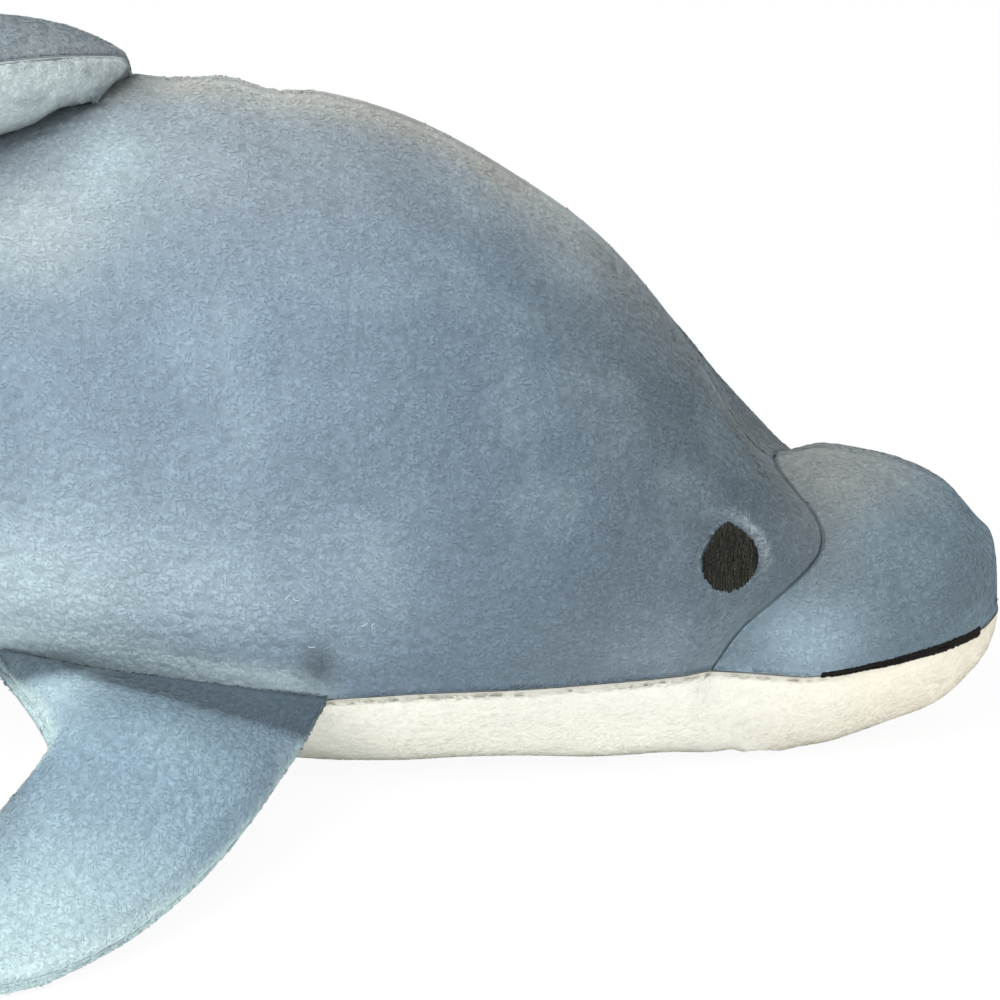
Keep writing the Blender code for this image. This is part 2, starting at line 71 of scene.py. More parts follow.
def linear(code: str) -> tuple[float, float, float, float]:
    """Turns an sRGB hex colour to linear.

    Args:
        code: Six hex digits after a hash sign.

    Returns:
        Linear red, green and blue, and an alpha of 1.
    """
    parts = [int(code[i:i + 2], 16) / 255 for i in (1, 3, 5)]
    r, g, b = [c / 12.92 if c <= 0.04045 else ((c + 0.055) / 1.055) ** 2.4 for c in parts]
    return r, g, b, 1.0


def set_inputs(tree: NodeTree, node: Node, inputs: dict | tuple) -> None:
    """Sets or links a node's inputs.

    Args:
        tree: The node tree.
        node: The node.
        inputs: A value or another node's socket for each input, by name or in order.
    """
    for key, value in inputs.items() if isinstance(inputs, dict) else enumerate(inputs):
        if isinstance(value, NodeSocket):
            tree.links.new(value, node.inputs[key])
        else:
            node.inputs[key].default_value = value


def add_node(tree: NodeTree, kind: str, inputs: dict | tuple = (), output: str | int = 0,
             **settings: object) -> NodeSocket:
    """Adds a node with its settings and links.

    Args:
        tree: The node tree.
        kind: The shader node's type.
        inputs: What `set_inputs` takes.
        output: The output that is wanted, by name or number.
        settings: Properties of the node.

    Returns:
        The output's socket.
    """
    node = tree.nodes.new("ShaderNode" + kind)
    for key, value in settings.items():
        setattr(node, key, value)
    set_inputs(tree, node, inputs)
    return node.outputs[output]


@dataclass(frozen=True)
class Finish:
    """A stuff that pieces are made of, as one material that they share."""

    name: str
    mid: str  # its main colour

    def build(self) -> Material:
        """Makes the material, or finds it if it is already made.

        Returns:
            The material.
        """
        made = bpy.data.materials.get(self.name)
        if made is None:
            made = bpy.data.materials.new(self.name)
            made.use_nodes = True
            tree = made.node_tree
            place = add_node(tree, "TexCoord", output="Object")
            set_inputs(tree, tree.nodes["Principled BSDF"], self.paint(tree, place))
        return made

    def paint(self, tree: NodeTree, place: NodeSocket) -> dict:
        """Adds the pattern's nodes; each finish has its own.

        Args:
            tree: The material's node tree.
            place: Where each spot lies on the piece.

        Returns:
            The shader's inputs.
        """
        raise NotImplementedError


@dataclass(frozen=True)
class PlushFinish(Finish):
    """Knitted polyester plush, brushed and sheared: matt, with a soft sheen at grazing angles.

    Its pile lies in small clumps, and where a hand has brushed it the other way it is paler.
    """

    warm: str  # browner: painted warm reflection along the back and snout tops, painted shade on the white by the flippers, and brushed and worn places
    pale: str  # paler: mostly painted light, as highlights on seams, creases and eye puckers, on flipper tips and rims, and towards the tail
    deep: str  # darker: mostly painted shade, in folds, creases and at the roots of fins and flippers, and on the head; cream on the white panel
    root: float = 0.93  # painted shade: brightness down between the tufts
    grain_mm: float = 2.0  # a clump of pile
    patch_mm: float = 26.0  # a brushed patch
    patch: float = 0.15  # how much such a patch changes the colour
    contrast: float = 0.065  # how much lighter or darker one clump is than the next
    sheen: float = 0.25
    relief: float = 0.45  # how much each clump rounds over
    flat_deg: float = 84.5  # how far the pile leans from upright
    rim: float = 0.90  # how near a seam the pile ends; 1 would be on the seam itself
    pile_mm: float = 0.45  # how deep the pile is, so how far the cloth lies inside its solid

    def paint(self, tree: NodeTree, place: NodeSocket) -> dict:
        """Mixes its colours by the `zone` and `tuft` attributes; see `Finish.paint`."""
        zone = add_node(tree, "Attribute", output="Color", attribute_name="zone")
        tuft = add_node(tree, "Attribute", output="Color", attribute_name="tuft")
        warm, pale, deep = add_node(tree, "SeparateColor", (zone,)).node.outputs
        height, chance, _ = add_node(tree, "SeparateColor", (tuft,)).node.outputs
        grain = add_node(tree, "TexNoise", {
            "Vector": place, "Scale": 1 / (self.grain_mm * MM), "Detail": 2.0, "Roughness": 0.6})
        patch = add_node(tree, "TexNoise", {
            "Vector": place, "Scale": 1 / (self.patch_mm * MM), "Detail": 4.0, "Roughness": 0.55})
        brushed = add_node(tree, "MapRange", (patch, 0.50, 0.72, 0.0, self.patch))
        hollow = add_node(tree, "MapRange", (patch, 0.50, 0.30, 0.0, self.patch))
        colour = linear(self.mid)
        for share, code in ((warm, self.warm), (pale, self.pale), (deep, self.deep),
                            (brushed, self.pale), (hollow, self.deep)):
            mixed = {0: share, 6: colour, 7: linear(code)}
            colour = add_node(tree, "Mix", mixed, 2, data_type="RGBA")
        spread = (1 - self.contrast, 1 + self.contrast)
        fine = add_node(tree, "MapRange", (grain, 0.30, 0.70, *spread))
        # painted shade at the blades' roots and on the bare cloth, painted light at their tips and
        # clump tops
        height = add_node(tree, "MapRange", (height, 0.0, 1.0, self.root, 2 - self.root))
        chance = add_node(tree, "MapRange", (chance, 0.0, 1.0, *spread))
        value = add_node(tree, "Math", (fine, height), operation="MULTIPLY")
        value = add_node(tree, "Math", (value, chance), operation="MULTIPLY")
        lit = add_node(tree, "HueSaturation", {"Value": value, "Color": colour})
        bump = add_node(tree, "Bump", {"Strength": 0.35, "Distance": 0.5 * MM, "Height": grain})
        return {"Base Color": lit, "Normal": bump, "Roughness": 0.95, "Specular IOR Level": 0.15,
                "Sheen Weight": self.sheen, "Sheen Roughness": 0.5, "Sheen Tint": linear(self.pale)}


@dataclass(frozen=True)
class ThreadFinish(Finish):
    """Rayon embroidery thread: fine twisted strands with a silky gloss along their length."""

    light: str
    strand_mm: float = 0.35

    def paint(self, tree: NodeTree, place: NodeSocket) -> dict:
        """Mixes its colours by the `lit` attribute; see `Finish.paint`."""
        strand = add_node(tree, "TexNoise", {
            "Vector": place, "Scale": 1 / (self.strand_mm * MM), "Detail": 2.0})
        share = add_node(tree, "MapRange", (strand, 0.35, 0.70, 0.0, 1.0))
        lit = add_node(tree, "Attribute", output="Fac", attribute_name="lit")
        both = add_node(tree, "Math", (share, lit), operation="MULTIPLY")
        mixed = {0: both, 6: linear(self.mid), 7: linear(self.light)}
        colour = add_node(tree, "Mix", mixed, 2, data_type="RGBA")
        bump = add_node(tree, "Bump", {"Strength": 0.4, "Distance": 0.1 * MM, "Height": strand})
        return {"Base Color": colour, "Normal": bump, "Roughness": 0.6, "Specular IOR Level": 0.12}


@dataclass(frozen=True)
class FibreFinish(Finish):
    """Carded polyester fibre: white, matt and cloudy, with fine crimped strands."""

    deep: str
    strand_mm: float = 1.2

    def paint(self, tree: NodeTree, place: NodeSocket) -> dict:
        """Mixes its colours in clouds; see `Finish.paint`."""
        strand = add_node(tree, "TexNoise", {
            "Vector": place, "Scale": 1 / (self.strand_mm * MM), "Detail": 5.0, "Distortion": 1.5})
        share = add_node(tree, "MapRange", (strand, 0.35, 0.65, 0.0, 1.0))
        mixed = {0: share, 6: linear(self.deep), 7: linear(self.mid)}
        colour = add_node(tree, "Mix", mixed, 2, data_type="RGBA")
        bump = add_node(tree, "Bump", {"Strength": 0.6, "Distance": 0.5 * MM, "Height": strand})
        return {"Base Color": colour, "Normal": bump, "Roughness": 1.0}


def add_object(name: str, data: ID) -> Object:
    """Adds an object to the scene, made of a mesh, a camera or a lamp."""
    made = bpy.data.objects.new(name, data)
    bpy.context.scene.collection.objects.link(made)
    return made


def points_of(piece: Object, what: str = "co") -> np.ndarray:
    """Reads a mesh's points as rows of x, y and z.

    Args:
        piece: The mesh object.
        what: "co" for their places, or "normal" for the way off the surface.

    Returns:
        A row for each point.
    """
    flat = np.empty(len(piece.data.vertices) * 3)
    piece.data.vertices.foreach_get(what, flat)
    return flat.reshape(-1, 3)


def unit(rows: np.ndarray) -> np.ndarray:
    """Gives each row a length of 1."""
    return rows / np.maximum(np.linalg.norm(rows, axis=-1, keepdims=True), 1e-9)


def move_points(piece: Object, points: np.ndarray) -> None:
    """Puts a mesh's points in new places."""
    piece.data.vertices.foreach_set("co", points.ravel())
    piece.data.update()


def set_colours(piece: Object, name: str, rows: np.ndarray) -> None:
    """Stores three numbers on each point of a mesh, as an attribute with that name."""
    layer = piece.data.attributes.new(name, "FLOAT_COLOR", "POINT")
    layer.data.foreach_set("color", np.column_stack([rows, np.ones(len(rows))]).ravel())


def tree_of(piece: Object) -> BVHTree:
    """Makes a search tree of a mesh's faces."""
    mesh = piece.data
    return BVHTree.FromPolygons([v.co for v in mesh.vertices], [p.vertices for p in mesh.polygons])


def copy_node(node: str, name: str) -> Object:
    """Copies a solid's mesh into a new piece of quads with welded points.

    Args:
        node: The solid's name.
        name: The new piece's name.

    Returns:
        The new piece.
    """
    mesh = bpy.data.meshes.new(name)
    bm = bmesh.new()
    bm.from_mesh(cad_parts[node].data)
    bmesh.ops.remove_doubles(bm, verts=bm.verts, dist=0.002 * MM)
    bmesh.ops.join_triangles(bm, faces=bm.faces, angle_face_threshold=math.radians(40),
                             angle_shape_threshold=math.radians(60))
    bm.to_mesh(mesh)
    bm.free()
    return add_object(name, mesh)


def apply_modifiers(piece: Object) -> None:
    """Applies every modifier of a piece with the operator that a person would use."""
    bpy.ops.object.select_all(action="DESELECT")
    piece.select_set(True)
    bpy.context.view_layer.objects.active = piece
    for modifier in list(piece.modifiers):
        bpy.ops.object.modifier_apply(modifier=modifier.name)


def subdivided(piece: Object, levels: int) -> Object:
    """Copies a piece and smooths the copy, with its rims kept sharp.

    Args:
        piece: The coarse piece.
        levels: How often each face is divided.

    Returns:
        The smooth copy.
    """
    fine = add_object(piece.name, piece.data.copy())
    smooth = fine.modifiers.new("smooth", "SUBSURF")
    smooth.levels = levels
    smooth.render_levels = levels
    apply_modifiers(fine)
    return fine


def rounded_copy(node: str, name: str, levels: int, rim: float) -> Object:
    """Makes a smooth skin that still passes through the solid's points.

    Args:
        node: The solid's name.
        name: The new piece's name.
        levels: How often each face is divided.
        rim: Width of the round-over along the sewn edges, in metres.

    Returns:
        The smooth piece.
    """
    coarse = copy_node(node, name + "_coarse")
    bm = bmesh.new()
    bm.from_mesh(coarse.data)
    crease = bm.edges.layers.float.new("crease_edge")
    for edge in bm.edges:
        edge[crease] = 1.0 if edge.calc_face_angle(0.0) > SHARP else 0.0
    bm.to_mesh(coarse.data)
    bm.free()
    goal = points_of(coarse)
    fine = subdivided(coarse, levels)
    for _ in range(2):
        reached = points_of(fine)[:len(goal)]
        move_points(coarse, points_of(coarse) + goal - reached)
        bpy.data.objects.remove(fine)
        fine = subdivided(coarse, levels)
    bpy.data.objects.remove(coarse)
    fine.name = name
    if rim > 0:
        bevel = fine.modifiers.new("rim", "BEVEL")
        bevel.width = rim
        bevel.segments = 2
        bevel.limit_method = "ANGLE"
        bevel.angle_limit = SHARP
        apply_modifiers(fine)
    fine.data.shade_smooth()
    return fine


def dab(points: np.ndarray, centre: tuple, size: tuple) -> np.ndarray:
    """A soft spot around a place, the same on both flanks.

    Args:
        points: Rows of x, y and z.
        centre: The spot's x, distance from the middle plane, and z.
        size: Its reach along x, y and z.

    Returns:
        A number from 0 to 1 for each point.
    """
    folded = points * (1, 0, 1) + np.abs(points) * (0, 1, 0)
    away = (folded - np.array(centre)) / np.array(size)
    return np.exp(-(away**2).sum(axis=1))


def ramp(values: np.ndarray, low: float, high: float) -> np.ndarray:
    """A smooth step from 0 at `low` to 1 at `high`."""
    t = np.clip((values - low) / (high - low), 0, 1)
    return t * t * (3 - 2 * t)


@dataclass(frozen=True)
class Press:
    """A small push on the cloth around a place, the same on both flanks."""

    centre: tuple[float, float, float]
    size: tuple[float, float, float]
    push: tuple[float, float, float]


PRESSES = (
    Press((0.0533, 0.0, 0.174), (0.008, 0.022, 0.020), (0, 0, 0.9 * MM)),  # folds along the back
    Press((0.0655, 0.0, 0.173), (0.007, 0.022, 0.020), (0, 0, -1.8 * MM)),
    Press((0.0300, 0.0, 0.176), (0.006, 0.016, 0.020), (0, 0, 1.4 * MM)),
    Press((0.1764, 0.052, 0.036), (0.012, 0.020, 0.014), (0, 0, -1.7 * MM)),  # the throat
    Press((-0.008, 0.064, 0.050), (0.035, 0.030, 0.022), (0, 0, -3.5 * MM)),  # flipper roots
    Press((0.078, 0.070, 0.042), (0.020, 0.020, 0.012), (0, 0, -1.8 * MM)),
    Press((0.187, 0.026, 0.0), (0.007, 0.018, 0.008), (0, 0, 1.5 * MM)),  # end of the flat belly
)


def pressed(points: np.ndarray) -> np.ndarray:
    """How far the cloth and its filling have settled at each place."""
    return sum(dab(points, press.centre, press.size)[:, None] * press.push for press in PRESSES)


@dataclass
class EmbroideredEye:
    """A dark oval of short upright stitches, sunk in a pucker of the plush."""

    flank: Flank
    finish: ThreadFinish
    wide: float = 8.1 * MM  # half its width
    long: float = 8.7 * MM  # half its height
    pitch: float = 0.42 * MM  # between neighbouring stitches
    stitch: float = 3.2 * MM  # a stitch's length
    rise: float = 0.9 * MM  # how far its middle stands on the cloth
    pucker: float = 0.9 * MM  # how far the cloth is drawn in under it
    top_power: float = 1.45  # 2 would round the top, and less makes it pointed

    def __post_init__(self) -> None:
        """Finds the eye's place and frame on the head."""
        self.word = self.flank.name.lower()
        self.node = "eye_" + self.word
        low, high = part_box(self.node)
        head = tree_of(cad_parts["back_panel_" + self.word])
        outside = Vector((low + high) / 2) + Vector((0, self.flank.value * 50 * MM, 0))
        spot, normal, _, _ = head.ray_cast(outside, Vector((0, -self.flank.value, 0)))
        normal = normal if normal.y * self.flank.value > 0 else -normal
        self.normal = np.array(normal)
        self.centre = np.array(spot)
        self.across = unit(np.cross((0, 0, 1), self.normal))
        self.upward = np.cross(self.normal, self.across)

    def spread(self, points: np.ndarray) -> tuple[np.ndarray, np.ndarray]:
        """Measures points in the eye's own oval.

        Args:
            points: Rows of x, y and z.

        Returns:
            The share of the eye's radius, 1 at its rim, and the turn from its top.
        """
        away = points - self.centre
        u = away @ self.across / self.wide
        v = away @ self.upward / self.long
        power = np.where(v > 0, self.top_power, 2.0)
        radius = (np.abs(u) ** power + np.abs(v) ** power) ** (1 / power)
        near = np.abs(away @ self.normal) < 12 * MM
        return np.where(near, radius, np.inf), np.arctan2(u, v)

    def ahead(self, turn: np.ndarray) -> np.ndarray:
        """How much of the pucker stands at each turn: most above and in front of the eye."""
        return np.clip(np.cos(turn - math.copysign(1.0, -self.flank.value)), 0, 1) ** 1.5

    def make(self, head: Object) -> Object:
        """Lays the stitches on the head's skin.

        Args:
            head: The skin that they are sewn through.

        Returns:
            The eye's piece.
        """
        skin = tree_of(head)
        rng = np.random.default_rng(7)
        paths = []
        lit = []
        columns = int(self.wide * 2 / self.pitch)
        for column in range(columns + 1):
            u = -1 + 2 * column / columns
            scallop = 0.035 * rng.standard_normal(2)
            top = (1 - abs(u) ** self.top_power) ** (1 / self.top_power) + scallop[0]
            bottom = -math.sqrt(max(0.0, 1 - u * u)) - scallop[1]
            if top - bottom < 0.25:  # too short for a stitch
                continue
            ends = np.arange(bottom, top, self.stitch / self.long)[1:] + 0.1 * (column % 3)
            stops = [bottom, *[e for e in ends if bottom + 0.15 < e < top - 0.15], top]
            for low, high in zip(stops, stops[1:]):
                paths.append(self.stitch_path(skin, u, low, high, rng))
                rim = min(1.0, 4.0 * (1 - abs(u)), 3.0 * (top - high + low - bottom))
                lit.append(max(0.0, rim) * (0.3 + 0.7 * rng.random()))
        ups = np.tile(self.normal, (len(paths), 1))
        piece = threads("stitched_" + self.node, paths, ups, THREAD, self.finish, np.array(lit))
        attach(piece, "root")
        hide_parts(self.node)
        return piece

    def stitch_path(self, skin: BVHTree, u: float, low: float, high: float,
                    rng: np.random.Generator) -> np.ndarray:
        """One stitch that dips into the plush at both ends.

        Args:
            skin: The head's skin.
            u: The stitch's place across the eye, from -1 to 1.
            low: Its lower end along the eye, as a share.
            high: Its upper end.
            rng: The source of its small waver.

        Returns:
            The stitch's points.
        """
        rows = []
        for t in np.linspace(0, 1, 7):
            v = low + (high - low) * t
            start = self.centre + self.across * (u * self.wide) + self.upward * (v * self.long)
            hit = skin.ray_cast(Vector(start + self.normal * 20 * MM), Vector(-self.normal))[0]
            base = np.array(hit) if hit is not None else start
            dome = self.rise * max(0.0, 1 - u * u - v * v) ** 0.5
            lift = 0.15 * MM + dome + 0.30 * MM * math.sin(math.pi * t)
            rows.append(base + self.normal * lift)
        return np.array(rows) + self.across * (0.06 * MM * rng.standard_normal())


def threads(name: str, paths: list, ups: np.ndarray, radius: float, finish: ThreadFinish,
            lit: np.ndarray) -> Object:
    """Makes one mesh of many short threads.

    Args:
        name: The piece's name.
        paths: Each thread's points.
        ups: For each thread, the way off the cloth.
        radius: The threads' radius.
        finish: Their finish.
        lit: For each thread, how much of its lighter colour shows.

    Returns:
        The piece.
    """
    sides = 6
    turns = np.linspace(0, 2 * math.pi, sides, endpoint=False)
    verts: list = []
    faces: list = []
    for path, up in zip(paths, ups):
        along = unit(np.gradient(path, axis=0))
        beside = unit(np.cross(along, up))
        above = np.cross(beside, along)
        first = len(verts)
        for point, b, a in zip(path, beside, above):
            verts += [point + radius * (math.cos(t) * b + math.sin(t) * a) for t in turns]
        for i in range(len(path) - 1):
            low = first + i * sides
            high = low + sides
            for j in range(sides):
                k = (j + 1) % sides
                faces.append((low + j, low + k, high + k, high + j))
        faces.append(tuple(first + j for j in reversed(range(sides))))
        faces.append(tuple(len(verts) - sides + j for j in range(sides)))
    mesh = bpy.data.meshes.new(name)
    mesh.from_pydata([tuple(v) for v in verts], [], faces)
    bm = bmesh.new()
    bm.from_mesh(mesh)
    bmesh.ops.recalc_face_normals(bm, faces=bm.faces)
    bm.to_mesh(mesh)
    bm.free()
    mesh.shade_smooth()
    mesh.materials.append(finish.build())
    piece = add_object(name, mesh)
    each = np.concatenate([np.full(len(path) * sides, share) for path, share in zip(paths, lit)])
    set_colours(piece, "lit", np.repeat(each[:, None], 3, axis=1))
    return piece


def settled(rows: np.ndarray) -> np.ndarray:
    """Takes out the odd ones from a list of rows, with a running middle value."""
    for _ in range(3):
        padded = np.pad(rows, ((2, 2), (0, 0)), mode="edge")
        rows = np.median([padded[k:k + len(rows)] for k in range(5)], axis=0)
    return rows


@dataclass
class EmbroideredMouth:
    """A black satin-stitched line that swells towards the tip of the snout."""

    flank: Flank
    finish: ThreadFinish
    pitch: float = 0.42 * MM  # between neighbouring stitches
    thin: float = 0.62 * MM  # half width where the line starts by the cheek
    thick: float = 1.15 * MM  # and near the tip
    rise: float = 0.45 * MM  # how far the stitches stand on the cloth
    upward: float = 0.45 * MM  # how far the line lies towards the blue side of the seam
    probe: float = 3 * MM  # how far off the cloth its height is measured from

    def __post_init__(self) -> None:
        """Finds the mouth's solid."""
        self.node = "mouth_" + self.flank.name.lower()

    def line(self) -> np.ndarray:
        """The middle of the stitched line, as rows of x, y and z from the cheek to the tip."""
        points = points_of(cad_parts[self.node])
        points = points[np.argsort(points[:, 0])]
        rows = np.array([group.mean(axis=0) for group in np.array_split(points, 14)])
        fine = np.linspace(0, len(rows) - 1, 120)
        return np.stack([np.interp(fine, range(len(rows)), rows[:, k]) for k in range(3)], axis=1)

    def covers(self, points: np.ndarray) -> np.ndarray:
        """Tells which points lie under the stitches."""
        away = np.linalg.norm(points[:, None] - self.line()[None], axis=2).min(axis=1)
        return away < 1.8 * MM

    def make(self, snout: Object, chin: Object) -> Object:
        """Lays the stitches over the seam between the snout and the white panel.

        Args:
            snout: The snout's skin.
            chin: The white panel's skin.

        Returns:
            The mouth's piece.
        """
        middle = self.line()
        lengths = np.concatenate([[0], np.cumsum(np.linalg.norm(np.diff(middle, axis=0), axis=1))])
        count = int(lengths[-1] / self.pitch)
        rng = np.random.default_rng(11)
        skins = [tree_of(snout), tree_of(chin)]
        steps = np.linspace(-1, 1, 7)
        goals = np.zeros((count, len(steps), 3))
        heights = np.zeros((count, len(steps)))
        stations = np.linspace(0, lengths[-1], count)
        shifts = (0, 3 * MM, -3 * MM)
        at, ahead, back = (np.stack([np.interp(stations + shift, lengths, middle[:, k])
                                     for k in range(3)], axis=1) for shift in shifts)
        along = unit(ahead - back)
        ups = unit(np.cross(along, (0, 0, -self.flank.value)))
        over = unit(np.cross(along, ups))
        over *= np.sign(over[:, 2:])
        grown = np.minimum(1.0, 1.4 * stations / lengths[-1]) ** 1.2
        halves = self.thin + (self.thick - self.thin) * grown
        halves *= 1 + 0.10 * rng.standard_normal(count)
        for i, half in enumerate(halves):
            for j, t in enumerate(steps):
                slant = 0.25 * along[i] * half * t
                goals[i, j] = at[i] + over[i] * (self.upward + half * t) + slant
                start = Vector(goals[i, j] + ups[i] * self.probe)
                hits = [skin.ray_cast(start, Vector(-ups[i]), 2 * self.probe)[3] for skin in skins]
                deep = min([hit for hit in hits if hit is not None] or [self.probe])
                heights[i, j] = self.probe - deep
        heights = settled(heights)
        heights += self.rise * (1.15 - steps**2)
        paths = list(goals + ups[:, None] * heights[:, :, None])
        piece = threads("stitched_" + self.node, paths, ups, THREAD, self.finish,
                        rng.random(len(paths)))
        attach(piece, "root")
        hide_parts(self.node)
        return piece


@dataclass(eq=False)
class Skin:
    """One panel of plush: a padded shell with its pile standing on it."""

    node: str
    slot: str
    finish: PlushFinish
    nap: tuple[float, float, float]  # the way that its pile lies
    zones: Callable[[np.ndarray, np.ndarray], tuple]
    per_mm2: float = 3.2  # tufts on a square millimetre
    seed: int = 1
    eyes: list[EmbroideredEye] = field(default_factory=list)
    piece: Object | None = None
    outside: np.ndarray | None = None  # which faces show
    near: np.ndarray | None = None  # how close its own seam and another part are, 0 to 1

    def cut(self) -> None:
        """Makes the smooth skin from its solid."""
        self.piece = rounded_copy(self.node, "skin_" + self.node, 2, 0.15 * MM)

    def find_outside(self, inner: BVHTree, reach: float) -> None:
        """Marks the faces that show, from which no filling or facing skin is close ahead.

        Args:
            inner: The faces of the whole sewn part.
            reach: How far to look.
        """
        mesh = self.piece.data
        shown = np.zeros(len(mesh.polygons), bool)
        for face in mesh.polygons:
            start = face.center + face.normal * (0.08 * MM)  # just off the face
            shown[face.index] = inner.ray_cast(start, face.normal, reach)[0] is None
        self.outside = self.with_rims(shown)

    def with_rims(self, shown: np.ndarray) -> np.ndarray:
        """Adds the two rows of faces that round over each sewn edge.

        Args:
            shown: True for each face that shows.

        Returns:
            The same, with the rounded edges added.
        """
        bm = bmesh.new()
        bm.from_mesh(self.piece.data)
        bm.faces.ensure_lookup_table()
        for _ in range(2):
            grown = shown.copy()
            for edge in bm.edges:
                pair = [face.index for face in edge.link_faces]
                if len(pair) == 2 and shown[pair[0]] != shown[pair[1]]:
                    first, second = edge.link_faces
                    if first.normal.dot(second.normal) > 0.7:  # not across a corner
                        grown[pair] = True
            shown = grown
        bm.free()
        return shown

    def outer_points(self) -> np.ndarray:
        """Tells which points belong to a face that shows."""
        flags = np.zeros(len(self.piece.data.vertices), bool)
        for face in self.piece.data.polygons:
            if self.outside[face.index]:
                flags[list(face.vertices)] = True
        return flags

    def snug(self, own: list[BVHTree], foreign: list[BVHTree]) -> None:
        """Closes the hair-wide gaps of the solids, so that the sewn edges touch.

        Args:
            own: Search trees of the other skins of the same part.
            foreign: Search trees of the skins of other parts.
        """
        points = points_of(self.piece)
        moved = points.copy()
        apart = np.full((len(points), 2), 1.0)
        for i, point in enumerate(points):
            for kind, trees in enumerate((own, foreign)):
                for other in trees:
                    spot, _, _, distance = other.find_nearest(Vector(point), 16 * MM)
                    if spot is None:
                        continue
                    apart[i, kind] = min(apart[i, kind], distance)
                    if distance < 1.0 * MM:
                        moved[i] = point + (np.array(spot) - point) * 0.55  # just past half way
        self.near = np.exp(-apart / (3.0 * MM, 6.0 * MM))
        move_points(self.piece, moved)

    def marks(self, points: np.ndarray, near: np.ndarray) -> np.ndarray:
        """Browner, paler and darker places, much of them painted light and shade, with a painted
        highlight arc where each eye's pucker rises.

        Args:
            points: Rows of x, y and z.
            near: How close the part's own seam and another part are, 0 to 1.

        Returns:
            Three numbers from 0 to 1 for each point.
        """
        rows = np.clip(np.stack(self.zones(points, near), axis=1), 0, 1)
        for eye in self.eyes:
            radius, turn = eye.spread(points)
            # painted highlight where the pucker rises in front of and above each eye
            painted_crescent_highlight = np.exp(-((radius - 1.32) / 0.17) ** 2) * eye.ahead(turn)
            hole = 0.35 * np.exp(-((radius - 1.06) / 0.05) ** 2)  # pulled pile at the rim
            rows[:, 1] = np.clip(rows[:, 1] + 0.30 * painted_crescent_highlight + hole, 0, 1)
            rows[:, 2] *= 1 - 0.7 * np.clip(painted_crescent_highlight + hole, 0, 1)
        return rows

    def shape(self) -> None:
        """Gives the skin the lumps of its filling, puckers at the eyes and a pressed surface."""
        points = points_of(self.piece)
        points = points + pressed(points)
        normals = points_of(self.piece, "normal")
        outer = self.outer_points()
        free = (1 - self.near).min(axis=1)
        lift = np.zeros(len(points))
        for i in np.flatnonzero(outer):
            place = Vector(points[i])
            lift[i] = 0.55 * MM * noise.noise(place / (38 * MM))
            lift[i] += 0.25 * MM * noise.noise(place / (14 * MM))
        lift = lift * free - self.finish.pile_mm * MM
        for eye in self.eyes:
            radius, turn = eye.spread(points)
            lift -= eye.pucker * np.exp(-(radius / 0.95) ** 4)
            lift += eye.pucker * np.exp(-((radius - 1.40) / 0.28) ** 2) * eye.ahead(turn)
        points = points + normals * (lift * outer)[:, None]
        points[:, 2] = np.maximum(points[:, 2], 0.05 * MM)
        move_points(self.piece, points)

    def dress(self) -> None:
        """Gives the skin its zones, finish and place in the toy."""
        set_colours(self.piece, "zone", self.marks(points_of(self.piece), self.near))
        self.piece.data.materials.clear()
        self.piece.data.materials.append(self.finish.build())
        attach(self.piece, "root")
        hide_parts(self.node)

    def grow_pile(self, bare: Callable[[np.ndarray], np.ndarray]) -> Object:
        """Grows the pile on the side that shows.

        Args:
            bare: Tells which places carry no pile.

        Returns:
            The pile's piece.
        """
        mesh = self.piece.data
        mesh.calc_loop_triangles()
        corners = np.empty(len(mesh.loop_triangles) * 3, int)
        mesh.loop_triangles.foreach_get("vertices", corners)
        corners = corners.reshape(-1, 3)
        faces = np.empty(len(mesh.loop_triangles), int)
        mesh.loop_triangles.foreach_get("polygon_index", faces)
        corners = corners[self.outside[faces]]
        points = points_of(self.piece)
        a, b, c = (points[corners[:, k]] for k in range(3))
        area = np.linalg.norm(np.cross(b - a, c - a), axis=1) / 2
        rng = np.random.default_rng(self.seed)
        on_floor = points[corners[:, 0], 2] < 1.0 * MM  # hidden, so a few will do
        count = rng.poisson(area / MM**2 * self.per_mm2 * np.where(on_floor, 0.3, 1.0))
        pick = np.repeat(np.arange(len(area)), count)
        r1 = np.sqrt(rng.random(len(pick)))
        r2 = rng.random(len(pick))
        weights = np.stack([1 - r1, r1 * (1 - r2), r1 * r2], axis=1)
        base = sum(weights[:, k:k + 1] * points[corners[pick, k]] for k in range(3))
        normals = points_of(self.piece, "normal")
        up = unit(sum(weights[:, k:k + 1] * normals[corners[pick, k]] for k in range(3)))
        near = (weights[:, :, None] * self.near[corners[pick]]).sum(axis=1)
        keep = ~bare(base) & (near[:, 0] < self.finish.rim)
        return self.tufts(base[keep], up[keep], near[keep], rng)

